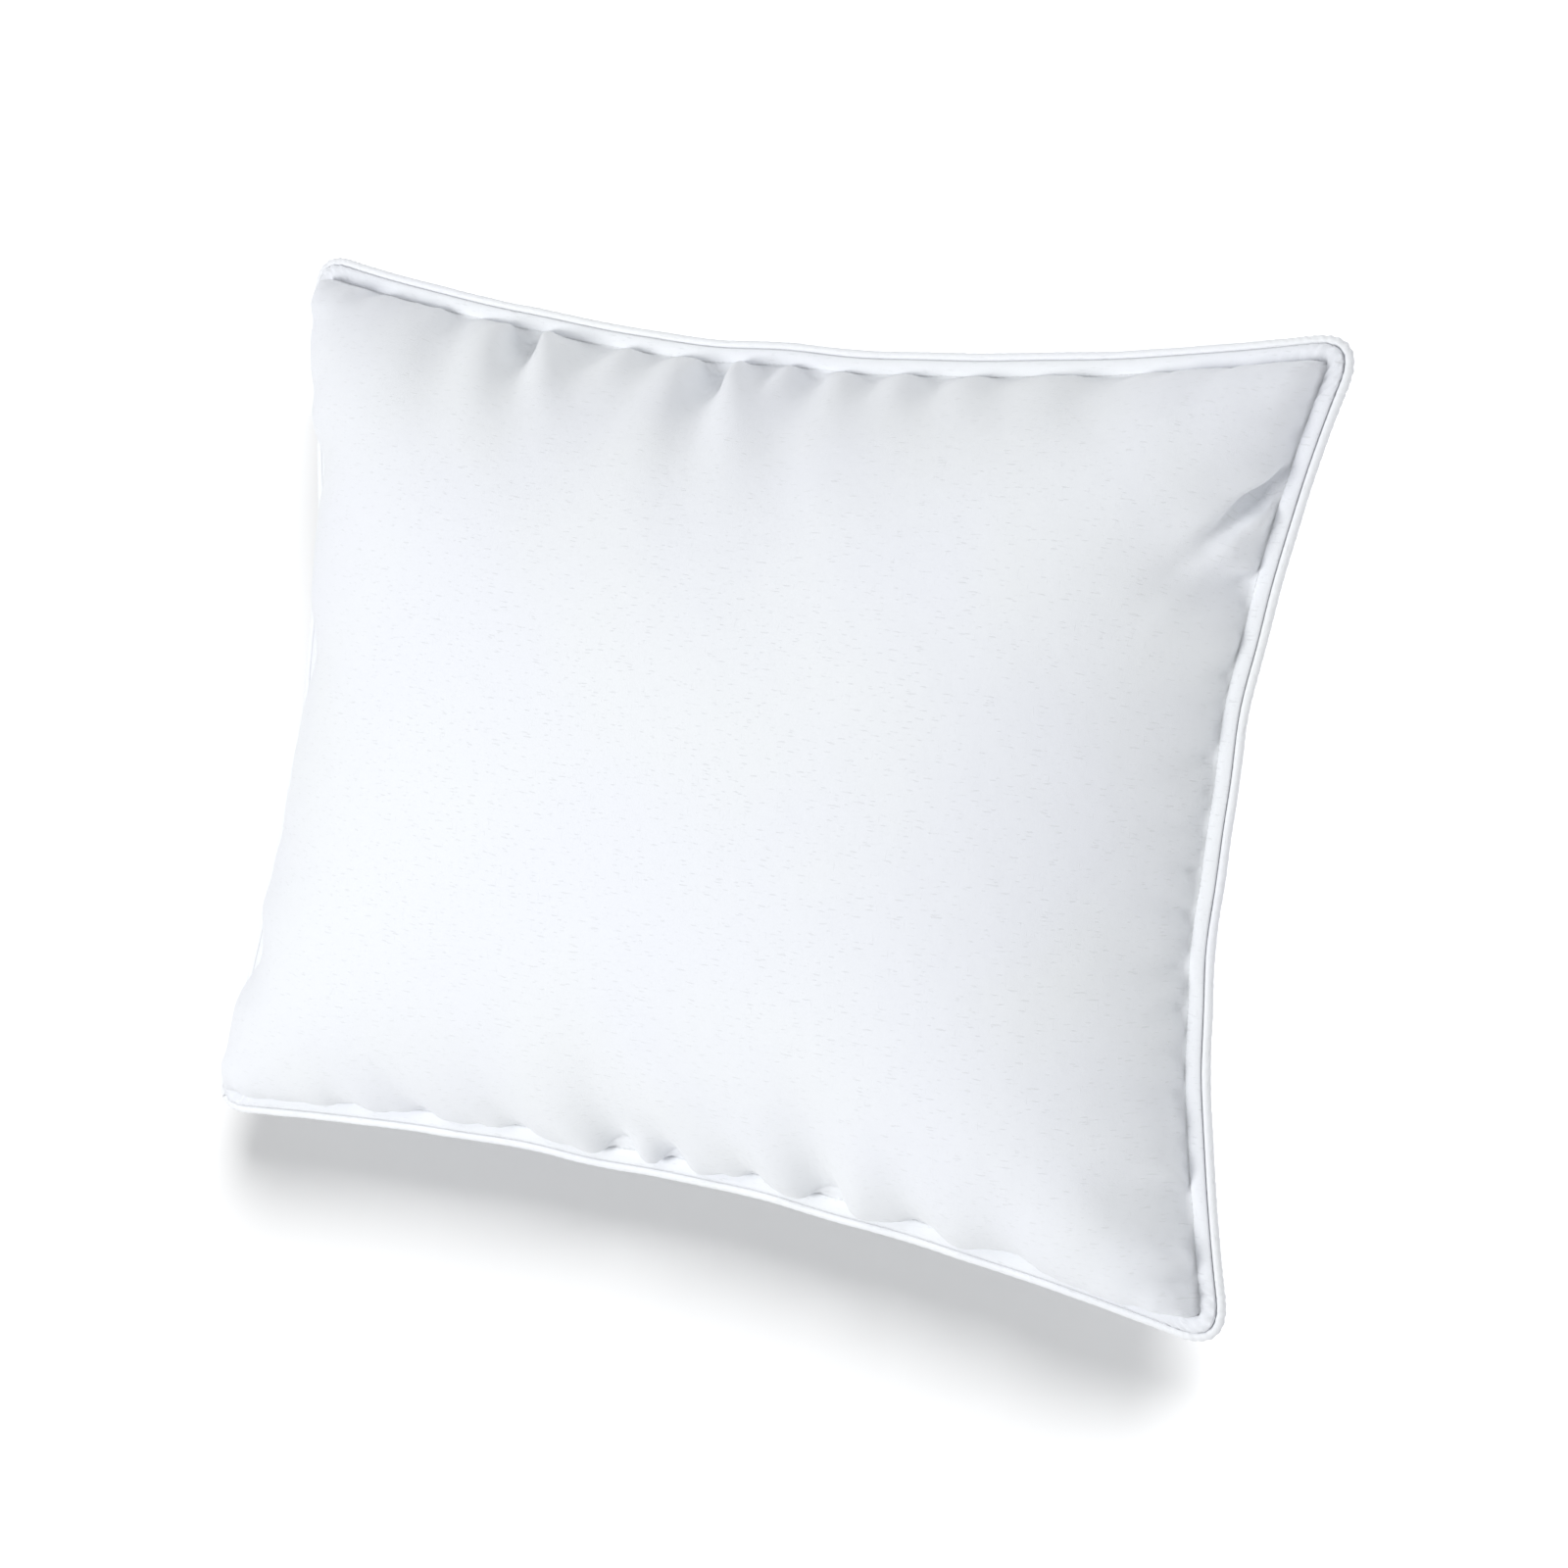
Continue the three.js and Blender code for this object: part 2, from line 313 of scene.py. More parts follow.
def overhang(pattern):
    """Sideways swelling of the cloth above the stitching."""
    gaps = edge_gaps(pattern)
    moves = []
    for axis in (0, 1):
        gap, free = gaps[axis], 1 - np.exp(-gaps[1 - axis] / OVERHANG_END)
        low = pattern[..., axis] < 0
        reach = np.where(low, OVERHANGS[axis][0], OVERHANGS[axis][1])
        swell = reach * gap / OVERHANG_HEIGHT * np.exp(1 - gap / OVERHANG_HEIGHT)
        swell = swell + ROLL * gap / ROLL_HEIGHT * np.exp(1 - gap / ROLL_HEIGHT)
        moves.append(np.where(low, -1, 1) * swell * free)
    return np.dstack(moves + [np.zeros(pattern.shape[:2])])


# Folds listed along a side: place along it, depth, half width, reach inwards and lean.
FOLDS = {
    "top": (
        (-0.212, 0.0030, 0.010, 0.060, 0.50),
        (-0.166, 0.0094, 0.0065, 0.058, 0.60),
        (-0.118, 0.0026, 0.012, 0.080, 0.45),
        (-0.078, 0.0020, 0.009, 0.060, 0.35),
        (-0.036, 0.0096, 0.0065, 0.085, 0.40),
        (-0.006, 0.0036, 0.009, 0.125, 0.45),
        (0.026, 0.0044, 0.010, 0.150, 0.36),
        (0.060, 0.0034, 0.010, 0.120, 0.42),
        (0.098, 0.0028, 0.011, 0.110, 0.40),
        (0.140, 0.0018, 0.012, 0.100, 0.34),
        (0.200, 0.0018, 0.016, 0.070, 0.20),
    ),
    "bottom": (
        (-0.215, 0.0030, 0.008, 0.024, 0.30),
        (-0.166, 0.0034, 0.009, 0.028, 0.10),
        (-0.100, 0.0030, 0.010, 0.030, 0.20),
        (-0.031, 0.0080, 0.009, 0.042, 0.25),
        (0.004, 0.0070, 0.008, 0.032, 0.05),
        (0.055, 0.0030, 0.010, 0.030, 0.20),
        (0.103, 0.0084, 0.009, 0.046, 0.20),
        (0.160, 0.0036, 0.012, 0.042, 0.10),
        (0.214, 0.0030, 0.014, 0.045, 0.25),
    ),
    "right": (
        (-0.190, 0.0030, 0.010, 0.032, 0.20),
        (0.120, 0.0030, 0.010, 0.040, 0.20),
        (0.182, 0.0090, 0.0050, 0.030, -1.35),
    ),
    "left": (
        (-0.150, 0.0034, 0.012, 0.050, -0.20),
        (0.020, 0.0030, 0.014, 0.055, 0.10),
        (0.120, 0.0034, 0.012, 0.050, 0.25),
    ),
}

# Small gathers along each side, in runs: mean spacing, its jitter, depth and reach inwards.
GATHERS = {
    "bottom": ((0.0230, 0.40, 0.0022, 0.015), (0.0100, 0.30, 0.0008, 0.008)),
    "right": ((0.0210, 0.35, 0.0036, 0.015), (0.0125, 0.35, 0.0034, 0.007)),
    "top": ((0.0260, 0.40, 0.0012, 0.022), (0.0110, 0.30, 0.0005, 0.010)),
    "left": ((0.0190, 0.30, 0.0022, 0.020), (0.0095, 0.30, 0.0010, 0.009)),
}
GATHER_RISE = 0.0022  # a valley reaches its full depth this far in from the stitching
RIDGE_RISE = 0.022  # and the ridges beside it only this far in
FOLD_SPREAD = 0.13  # how fast a fold widens inwards
FOLD_FADE = 1.6  # higher ends a fold more abruptly
# The soft ridges beside a valley: height, place and width, in the valley's depths and widths.
RIDGES = ((0.50, 1.8, 1.0), (0.35, -2.0, 1.2))
# Where small gathers vary, as shares of their run's spacing, depth and reach.
GATHER_START, GATHER_DEPTHS, GATHER_REACHES = (0.6, 1.0), (0.35, 1.0), (0.6, 1.5)
GATHER_WIDTHS, GATHER_LEANS = (0.20, 0.30), (-0.4, 0.4)


def fold_shape(offset, depth_in):
    """A valley, across its own half width, with a soft ridge on each side further in."""
    ridges = sum(tall * np.exp(-(((offset - at) / wide) ** 2)) for tall, at, wide in RIDGES)
    return np.exp(-(offset**2)) - ridges * (1 - np.exp(-depth_in / RIDGE_RISE))


def small_gathers(side, half, rng):
    """Seeded gathers along one side, in the same terms as FOLDS."""
    made = []
    for spacing, jitter, depth, reach in GATHERS[side]:
        place = -half + spacing * rng.uniform(*GATHER_START)
        while place < half - 0.5 * spacing:
            deep, far = depth * rng.uniform(*GATHER_DEPTHS), reach * rng.uniform(*GATHER_REACHES)
            width = spacing * rng.uniform(*GATHER_WIDTHS)
            made.append((place, deep, width, far, rng.uniform(*GATHER_LEANS)))
            place += spacing * (1 + jitter * rng.uniform(-1, 1))
    return made


def gather_field(pattern, seed, mirrored, least_reach=0.0):
    """How far each grid point lies below the smooth crown, from the folds on all four sides."""
    rng = np.random.default_rng(seed)
    x, y = pattern[..., 0], pattern[..., 1]
    reach_x, reach_y = x.max(), y.max()
    runs = {
        "bottom": (x, np.maximum(y + reach_y, 0), reach_x),
        "right": (y, np.maximum(reach_x - x, 0), reach_y),
        "top": (x, np.maximum(reach_y - y, 0), reach_x),
        "left": (y, np.maximum(x + reach_x, 0), reach_y),
    }
    field = np.zeros_like(x)
    for side, (along, depth_in, half) in runs.items():
        folds = list(FOLDS[side])
        if mirrored:
            folds = [(-place, *shape, -lean) for place, *shape, lean in folds]
        for place, deep, width, far, lean in folds + small_gathers(side, half, rng):
            if far < least_reach:
                continue
            offset = (along - place - lean * depth_in) / (width + FOLD_SPREAD * depth_in)
            fade = (1 - np.exp(-depth_in / GATHER_RISE)) * np.exp(-((depth_in / far) ** FOLD_FADE))
            field += deep * fold_shape(offset, depth_in) * fade
    return field


def finer(grid, count):
    """A grid resampled along its first axis, on a smooth curve through its lines."""
    last = len(grid) - 1
    place = np.linspace(0, last, count)
    index = np.minimum(place.astype(int), last - 1)
    t = (place - index).reshape(-1, 1, 1)
    longer = np.concatenate([2 * grid[:1] - grid[1:2], grid, 2 * grid[-1:] - grid[-2:-1]])
    a, b, c, d = (longer[index + k] for k in range(4))
    bend = t * (3 * (b - c) + d - a)
    return b + 0.5 * t * (c - a + t * (2 * a - 5 * b + 4 * c - d + bend))


# --- Stuffing -----------------------------------------------------------------------------------

FRONT_SEED, BACK_SEED = 7, 19
PANELS = (("front", 1, FRONT_SEED), ("back", -1, BACK_SEED))
SIM_SCALE = 10.0  # the cloth solver is steadier on a larger pocket
SIM_FRAMES = 20
REST_GATHER = 1.6  # the folds' depth in the rest shape, before the pressure flattens them
FRONT_SHARE, BACK_SHARE = 0.82, 0.70  # of the frame's crown, before the pressure swells them
EASE = (0.018, 0.045)  # extra cloth along the long and the short edges
EASE_REACH = 0.045  # and how far in from the seam it lies
LEAST_FOLD = 0.026  # folds that reach less far are too fine for the simulation
FLOOR_GAP = 0.0016  # the cloth's middle layer over the floor, where the pillow rests


def eased_in(pattern, plan):
    """Extra cloth along each side, as the seam gathers it: sideways moves of the rest shape."""
    from_short, from_long = edge_gaps(pattern)
    along_x = EASE[0] * np.exp(-((from_long / EASE_REACH) ** 2))
    along_y = EASE[1] * np.exp(-((from_short / EASE_REACH) ** 2))
    return np.dstack([plan[..., 0] * along_x, plan[..., 1] * along_y, 0 * along_x])


def start_shape(sizes, side, columns, rows, seed):
    """A panel's smooth stuffed shape, and its larger folds as moves along its normals."""
    pattern = flat_grid(sizes, columns, rows)
    share = FRONT_SHARE if side > 0 else BACK_SHARE
    crown = share * (CROWN_TOP - SEAM_HEIGHT)
    plan, height = stuffed_grid(sizes, crown, columns, rows)
    smooth = np.dstack([plan, SEAM_HEIGHT + side * height]) + overhang(pattern)
    outward = side * grid_normals(smooth)
    folds = -outward * gather_field(pattern, seed, side < 0, LEAST_FOLD)[..., None]
    return smooth, folds, eased_in(pattern, plan)


def grid_faces(index):
    """Anticlockwise quads over a grid of vertex numbers."""
    quads = [index[:-1, :-1], index[:-1, 1:], index[1:, 1:], index[1:, :-1]]
    return np.stack([q.ravel() for q in quads], 1)


def pocket_indices(rows, columns):
    """Vertex numbers of a closed pocket's front and back grids, and its faces. The numbers run
    over the front grid, then over the back grid's inner points."""
    front = np.arange(rows * columns).reshape(rows, columns)
    back = front.copy()
    inner = np.arange((rows - 2) * (columns - 2)).reshape(rows - 2, columns - 2)
    back[1:-1, 1:-1] = rows * columns + inner
    return front, back, np.concatenate([grid_faces(front), grid_faces(back)[:, ::-1]])


def pocket_mesh(sizes):
    """Both panels as one closed mesh, and its rest shape."""
    index_front, index_back, faces = pocket_indices(SIM_ROWS, SIM_COLUMNS)
    places = np.zeros((index_back.max() + 1, 3))
    rest = places.copy()
    for side, seed, index in ((-1, BACK_SEED, index_back), (1, FRONT_SEED, index_front)):
        smooth, folds, eased = start_shape(sizes, side, SIM_COLUMNS, SIM_ROWS, seed)
        start = smooth + folds
        start[..., 2] = np.maximum(start[..., 2], FLOOR_GAP)
        places[index] = start
        rest[index] = smooth + REST_GATHER * folds + eased
    mesh = bpy.data.meshes.new("stuffed_pocket")
    mesh.from_pydata(places, [], faces.tolist())
    return mesh, rest, index_front, index_back


def stuff(sizes):
    """Simulates the pocket filling out, and returns each panel's fine grid of points."""
    mesh, rest, index_front, index_back = pocket_mesh(sizes)
    settled = np.zeros(len(mesh.vertices) * 3)
    mesh.vertices.foreach_get("co", settled)
    settled = settled.reshape(-1, 3)
    settled = simulate(mesh, rest, index_front)
    grids = {}
    for (name, side, seed), index in zip(PANELS, (index_front, index_back)):
        grid = finer(finer(settled[index], ROWS).transpose(1, 0, 2), COLUMNS).transpose(1, 0, 2)
        grids[name] = gathered(sizes, grid, side, seed)
    return grids


LATE_FOLDS = 0.55  # folds pressed in again after the pressure has smoothed them
PINCH_REACH = 0.02  # how far in from the seam the panels are held apart by its thickness


def gathered(sizes, grid, side, seed):
    """A fine grid with the small gathers added, and its rim laid on the topstitching."""
    pattern = flat_grid(sizes, COLUMNS, ROWS)
    field = gather_field(pattern, seed, side < 0)
    large = gather_field(pattern, seed, side < 0, LEAST_FOLD)
    depth = field - (1 - LATE_FOLDS) * large
    grid = grid - side * grid_normals(grid) * depth[..., None]
    rim = rim_loop(np.arange(ROWS * COLUMNS).reshape(ROWS, COLUMNS))
    points = grid.reshape(-1, 3)
    points[rim, :2] = rim_points(inset_sides(piping_sides(sizes), stitch_inset(sizes)))
    points[rim, 2] = SEAM_HEIGHT
    grid = points.reshape(grid.shape)
    gap = np.minimum(*edge_gaps(pattern))
    grid[..., 2] += side * sizes.pinch_half * np.exp(-((gap / PINCH_REACH) ** 2))
    grid[..., 2] = np.maximum(grid[..., 2], FLOOR_GAP)
    return grid


CLOTH_SETTINGS = {
    "quality": 6,
    "mass": 0.1,
    "air_damping": 1.0,
    "tension_stiffness": 30.0,
    "compression_stiffness": 5.0,
    "shear_stiffness": 1.0,
    "bending_model": "LINEAR",
    "bending_stiffness": 10.0,
    "tension_damping": 5.0,
    "compression_damping": 5.0,
    "shear_damping": 5.0,
    "bending_damping": 2.0,
    "vertex_group_mass": "stitched",
    "use_pressure": True,
    "uniform_pressure_force": 1.0,
}
GROUND_SIZE = 20.0
CONTACT_GAP = 0.005  # at the simulation's scale, as GROUND_SIZE is


def simulate(mesh, rest, index_front):
    """Blows the pocket up over the floor, its seam held fast, and returns its settled points."""
    mesh.transform(Matrix.Scale(SIM_SCALE, 4))
    rest = rest * SIM_SCALE
    pocket = new_object(bpy.context, "pocket", mesh)
    pocket.shape_key_add(name="stuffed")
    pattern = pocket.shape_key_add(name="pattern")
    pattern.data.foreach_set("co", rest.astype(np.float32).ravel())
    pattern.value = 0.0
    stitched = pocket.vertex_groups.new(name="stitched")
    edge = np.concatenate([index_front[0], index_front[-1], index_front[:, 0], index_front[:, -1]])
    stitched.add(sorted(set(edge.tolist())), 1.0, "REPLACE")
    cloth = pocket.modifiers.new("Cloth", "CLOTH")
    settings = cloth.settings
    for setting, value in CLOTH_SETTINGS.items():
        setattr(settings, setting, value)
    settings.rest_shape_key = pattern
    settings.effector_weights.gravity = 0.0
    cloth.collision_settings.use_self_collision = False
    cloth.collision_settings.distance_min = CONTACT_GAP
    bpy.ops.mesh.primitive_plane_add(size=GROUND_SIZE, location=(0, 0, 0))
    ground = bpy.context.object
    ground.modifiers.new("Collision", "COLLISION")
    ground.collision.thickness_outer = CONTACT_GAP
    cloth.point_cache.frame_end = SIM_FRAMES
    scene = bpy.context.scene
    scene.frame_start, scene.frame_end = 1, SIM_FRAMES
    for number in range(1, SIM_FRAMES + 1):
        scene.frame_set(number)
    shown = pocket.evaluated_get(bpy.context.evaluated_depsgraph_get())
    settled = np.zeros(len(mesh.vertices) * 3)
    shown.data.vertices.foreach_get("co", settled)
    bpy.data.objects.remove(pocket)
    bpy.data.objects.remove(ground)
    scene.frame_set(1)
    return settled.reshape(-1, 3) / SIM_SCALE


# --- Cloth pieces -------------------------------------------------------------------------------


CORNER_DROOP = 0.006  # how far the corners sink under the seam's middle height
SEAM_SWAY = 0.0022  # and how far the seam rises and falls between them
SWAY_REACH = 0.035  # the crowns further than this from the seam stay where they are


def swayed(vertices):
    """Points moved up or down as the soft seam sags and waves. Every piece takes the same moves,
    so they keep their fit."""
    points = np.array(vertices, float)
    x, y = points[:, 0] / PIPING_HIGH.x, points[:, 1] / PIPING_HIGH.y
    waves = np.sin(4.1 * x + 0.7) * np.cos(3.3 * y - 0.4) + 0.6 * np.sin(7.3 * x - 5.9 * y)
    lift = SEAM_SWAY * waves - CORNER_DROOP * x**2 * y**2
    fade = np.exp(-(((points[:, 2] - SEAM_HEIGHT) / SWAY_REACH) ** 2))
    points[:, 2] += lift * fade
    return points


def new_piece(name, vertices, faces, material, uv=None):
    """A smooth-shaded mesh object. uv gives each vertex its place on the flat cloth, in metres."""
    mesh = bpy.data.meshes.new(name)
    faces = faces.tolist() if isinstance(faces, np.ndarray) else faces
    mesh.from_pydata(swayed(vertices).tolist(), [], faces)
    if uv is not None:
        corners = np.zeros(len(mesh.loops), np.int32)
        mesh.loops.foreach_get("vertex_index", corners)
        layer = mesh.uv_layers.new(name=CLOTH_MAP)
        layer.data.foreach_set("uv", np.asarray(uv)[corners].astype(np.float32).ravel())
    mesh.polygons.foreach_set("use_smooth", [True] * len(mesh.polygons))
    mesh.materials.append(material)
    return new_object(bpy.context, name, mesh)


def apply_modifiers(piece):
    """Replaces the piece's mesh by its modified one."""
    shown = piece.evaluated_get(bpy.context.evaluated_depsgraph_get())
    finished = bpy.data.meshes.new_from_object(shown)
    piece.modifiers.clear()
    old = piece.data
    piece.data = finished
    finished.name = piece.name
    bpy.data.meshes.remove(old)


def settle_on_frame(piece, node):
    """The piece rides on the frame in place of its CAD node."""
    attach(piece, BODY)
    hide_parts(node)


def rim_loop(index):
    """Vertex numbers round a grid's rim, anticlockwise from its first corner."""
    return np.concatenate([index[0, :-1], index[:-1, -1], index[-1, :0:-1], index[:0:-1, 0]])


def rim_points(sides):
    """Points round four sides, in step with rim_loop."""
    u, v = crowded_shares(COLUMNS), crowded_shares(ROWS)
    return np.concatenate([at_shares(s, t)[:-1] for s, t in zip(sides, (u, v, u, v))])


def slow_waves(count, waves, seed):
    """A closed run of smooth random values between about -1 and 1."""
    rng = np.random.default_rng(seed)
    turn = np.linspace(0, 2 * np.pi, count, endpoint=False)
    total = np.zeros(count)
    for _ in range(waves):
        turns = rng.integers(waves // 2, 2 * waves)
        total += rng.uniform(0.4, 1.0) * np.sin(turns * turn + rng.uniform(0, 2 * np.pi))
    return total / np.abs(total).max()


def flange_section(sizes):
    """The flange from just outside the topstitching to the raw edge turned under it, as insets
    from the piping's middle line and heights off the seam plane."""
    inset = stitch_inset(sizes)
    fold = PIPING_RADIUS
    high, wall = sizes.flange_half, sizes.ticking_wall
    under = high - 2.4 * wall
    return [
        (inset - 0.0010, high - 0.0004),
        (inset - 0.0024, high),
        (fold + 0.0026, high + 0.0001),
        (fold + 0.0006, high - 0.0001),
        (fold - 0.0004, high - 0.9 * wall),
        (fold - 0.0002, under + 0.9 * wall),
        (fold + 0.0007, under),
        (inset - 0.0018, under),
    ]


CORNER_CRIMP = 0.0062  # from one small pleat to the next round a corner
CORNER_RUFFLE = 0.0009  # and their height
CRIMP_REACH = 0.020  # how far from a corner they run
CRIMP_LAG = 0.8  # how far each ring's pleats lag the last one's, which slants them
FACE_RINGS = 5  # the flange section's rings that lie in its face
FLANGE_RIPPLE = 0.00035  # how far the gathered seam ruffles the flange
FLANGE_WAVES = 60
FLANGE_SHIFT = 0.00012  # the two panels' folds don't lie quite edge to edge


def sew_panel(sizes, grid, side, name, material, seed):
    """One panel: the stuffed crown, the flange round it and the edge turned under, as one cloth."""
    pattern = flat_grid(sizes, COLUMNS, ROWS)
    index = np.arange(ROWS * COLUMNS).reshape(ROWS, COLUMNS)
    vertices, uv = [grid.reshape(-1, 3)], [pattern.reshape(-1, 2)]
    faces = [grid_faces(index)]
    outline, flat_outline = piping_sides(sizes), pattern_sides(sizes)
    before, start = rim_loop(index), ROWS * COLUMNS
    reach, last = 0.0, (stitch_inset(sizes), sizes.pinch_half)
    count = len(before)
    ripple = slow_waves(count, FLANGE_WAVES, seed)
    for step, (inset, height) in enumerate(flange_section(sizes)):
        ring = rim_points(inset_sides(outline, inset - FLANGE_SHIFT * ripple[0]))
        lift = FLANGE_RIPPLE * (1 + ripple) * math.exp(-((step - 1) ** 2) / 4)
        crimp = 1 + np.sin(2 * np.pi * arc_lengths(ring) / CORNER_CRIMP + CRIMP_LAG * step)
        crimp = crimp * corner_nearness(ring, CRIMP_REACH)
        lift = lift + CORNER_RUFFLE * crimp * (step < FACE_RINGS)
        level = SEAM_HEIGHT + side * (height + lift)
        vertices.append(np.column_stack([ring, level]))
        reach += math.hypot(inset - last[0], height - last[1])
        last = (inset, height)
        uv.append(rim_points(inset_sides(flat_outline, -reach)))
        ring_index = start + np.arange(count)
        ahead, ring_ahead = np.roll(before, -1), np.roll(ring_index, -1)
        faces.append(np.stack([before, ring_index, ring_ahead, ahead], 1))
        before, start = ring_index, start + count
    faces = np.concatenate(faces)
    if side < 0:
        faces = faces[:, ::-1]
    piece = new_piece(name, np.concatenate(vertices), faces, material, np.concatenate(uv))
    wall = piece.modifiers.new("Wall", "SOLIDIFY")
    wall.thickness = sizes.ticking_wall
    wall.offset = -1.0
    apply_modifiers(piece)
    return piece


FILL_SEED = 41
FILL_CLEARANCE = 0.0022
FILL_RIM = (0.985, 0.98, 0.0)  # the fill's rim, as a share of the seam's
LUMP_COUNT, LUMP_TURNS, LUMP_HEIGHT = 14, 9, 0.0005


def fill_pocket(grids, material):
    """The loose fibre, one clearance inside the panels, with soft lumps."""
    rng = np.random.default_rng(FILL_SEED)
    index_front, _, faces = pocket_indices(ROWS, COLUMNS)
    u, v = np.meshgrid(np.linspace(0, 1, COLUMNS), np.linspace(0, 1, ROWS))
    lumps = sum(
        np.sin(2 * np.pi * (a * u + b * v) + c)
        for a, b, c in rng.uniform(-LUMP_TURNS, LUMP_TURNS, (LUMP_COUNT, 3))
    )
    inside = []
    for side, grid in zip((1, -1), grids):
        faced = grid - side * grid_normals(grid) * FILL_CLEARANCE
        faced[..., 2] -= side * LUMP_HEIGHT * (1 + lumps / LUMP_COUNT)
        inside.append(faced)
    vertices = np.concatenate([inside[0].reshape(-1, 3), inside[1][1:-1, 1:-1].reshape(-1, 3)])
    middle = np.array([0.0, 0.0, SEAM_HEIGHT])
    rim = rim_loop(index_front)
    vertices[rim] = (grids[0].reshape(-1, 3)[rim] - middle) * np.array(FILL_RIM) + middle
    return new_piece("fibre_fill_loose", vertices, faces, material)


# --- Piping and threads -------------------------------------------------------------------------


def loop_frame(sizes, inset, count):
    """Evenly spaced points round an inset of the piping line, and their outward directions."""
    sides = inset_sides(piping_sides(sizes), inset)
    loop = np.concatenate([side[:-1] for side in sides] + [sides[0][:1]])
    points = at_shares(loop, np.arange(count) / count)
    return points, outward_ways(points)


def loop_faces(rings, around):
    """Quads joining closed rings one after another, the last to the first."""
    index = np.arange(rings * around).reshape(rings, around)
    ahead = np.roll(index, -1, 0)
    quads = [index, np.roll(index, -1, 1), np.roll(ahead, -1, 1), ahead]
    return np.stack([q.ravel() for q in quads], 1)


CORNER_SPAN = 0.985  # a corner's middle, as a share of the outline's half sizes


def corner_nearness(points, reach):
    """1 at the rounded corners and 0 away from them."""
    span = np.abs(points).max(0)
    gap = np.linalg.norm(np.abs(points) - span * CORNER_SPAN, axis=1)
    return np.exp(-((gap / reach) ** 2))


LOOP_STEPS = 2400  # sections round the piping, its cord and the topstitching
TAPE_WALL = 0.0005
TAPE_SLIT = 0.00018  # half the gap between the tape's legs
LEG_SHORT = 0.0018  # the legs end this far from the topstitching
OUTER_POINTS, INNER_POINTS = 18, 10  # round the tape's outside and its bore
PIPING_CORNER = 0.030  # how far from a corner the tape is ruffled more
TAPE_WANDER, TAPE_WAVES, TAPE_SEED = 0.00016, 40, 11
CREASE, CREASE_TURNS = 0.00007, 330
RUFFLE, CORNER_TAPE_RUFFLE, RUFFLE_TURNS = 0.00004, 0.00026, 560


def wrap_piping(sizes, material):
    """The bias tape: round the cord, with its two legs lying together in the flange."""
    points, outward = loop_frame(sizes, 0.0, LOOP_STEPS)
    wall, slit = TAPE_WALL, TAPE_SLIT
    bore = PIPING_RADIUS - wall
    leg = np.full(LOOP_STEPS, LEG_SHORT - stitch_inset(sizes))
    open_out = math.asin((slit + wall) / PIPING_RADIUS)
    open_in = math.asin(slit / bore)
    outer = np.linspace(-math.pi + open_out, math.pi - open_out, OUTER_POINTS)
    inner = np.linspace(math.pi - open_in, -math.pi + open_in, INNER_POINTS)
    turn = np.arange(LOOP_STEPS) / LOOP_STEPS * 2 * np.pi
    corner = corner_nearness(points, PIPING_CORNER)
    wander = TAPE_WANDER * slow_waves(LOOP_STEPS, TAPE_WAVES, TAPE_SEED)
    rows = []
    for angle in outer:
        creases = np.sin(CREASE_TURNS * turn + 2.2 * angle + 1.5 * np.sin(7 * turn))
        ruffles = np.sin(RUFFLE_TURNS * turn + 1.6 * angle + 1.5 * np.sin(23 * turn))
        swell = wander + CREASE * creases + (RUFFLE + CORNER_TAPE_RUFFLE * corner) * ruffles
        radius = PIPING_RADIUS + swell * np.cos(angle / 2)
        rows.append((radius * math.cos(angle), radius * math.sin(angle)))
    rows += [(leg, slit + wall), (leg, slit)]
    rows += [(np.full(LOOP_STEPS, bore * math.cos(a)), bore * math.sin(a)) for a in inner]
    rows += [(leg, -slit), (leg, -slit - wall)]
    rings = [
        np.column_stack([points + outward * out[:, None], SEAM_HEIGHT + up + 0 * turn])
        for out, up in rows
    ]
    vertices = np.stack(rings, 1).reshape(-1, 3)
    along = arc_lengths(np.concatenate([points, points[:1]]))[:-1]
    section = np.concatenate([outer * PIPING_RADIUS, np.zeros(len(rows) - len(outer))])
    uv = np.stack(np.broadcast_arrays(along[:, None], section[None]), -1).reshape(-1, 2)
    faces = loop_faces(LOOP_STEPS, len(rows))
    return new_piece("piping_tape_cloth", vertices, faces, material, uv)


STRANDS = 3
STRAND_SHARE = 0.46  # a strand's radius, as a share of the cord's
STRAND_POINTS = 8
CORD_TURNS = 150  # of the strands, once round the pillow


def twist_cord(sizes, material):
    """Three strands laid round each other inside the piping."""
    points, outward = loop_frame(sizes, 0.0, LOOP_STEPS)
    strand = CORD_RADIUS * STRAND_SHARE
    lay = CORD_RADIUS - strand
    turn = np.arange(LOOP_STEPS) / LOOP_STEPS * 2 * np.pi
    angles = np.linspace(0, 2 * np.pi, STRAND_POINTS, endpoint=False)
    vertices, faces = [], []
    for number in range(STRANDS):
        phase = CORD_TURNS * turn + number * 2 * np.pi / STRANDS
        side = (lay * np.cos(phase))[:, None] + strand * np.cos(angles)[None]
        level = (lay * np.sin(phase))[:, None] + strand * np.sin(angles)[None]
        ring = points[:, None] + outward[:, None] * side[..., None]
        ring = np.concatenate([ring, (SEAM_HEIGHT + level)[..., None]], 2)
        faces.append(loop_faces(LOOP_STEPS, STRAND_POINTS) + number * LOOP_STEPS * STRAND_POINTS)
        vertices.append(ring.reshape(-1, 3))
    return new_piece(
        "piping_filler_cord_twist", np.concatenate(vertices), np.concatenate(faces), material
    )


STITCH_SEED = 23
STITCH_STATIONS, STITCH_POINTS = 6, 5  # sections along a stitch and points round it
STITCH_ENDS = 0.04  # the share of its length that a stitch leaves free at each end
STITCH_SWAY, STITCH_SLANT = 0.00008, 0.00016


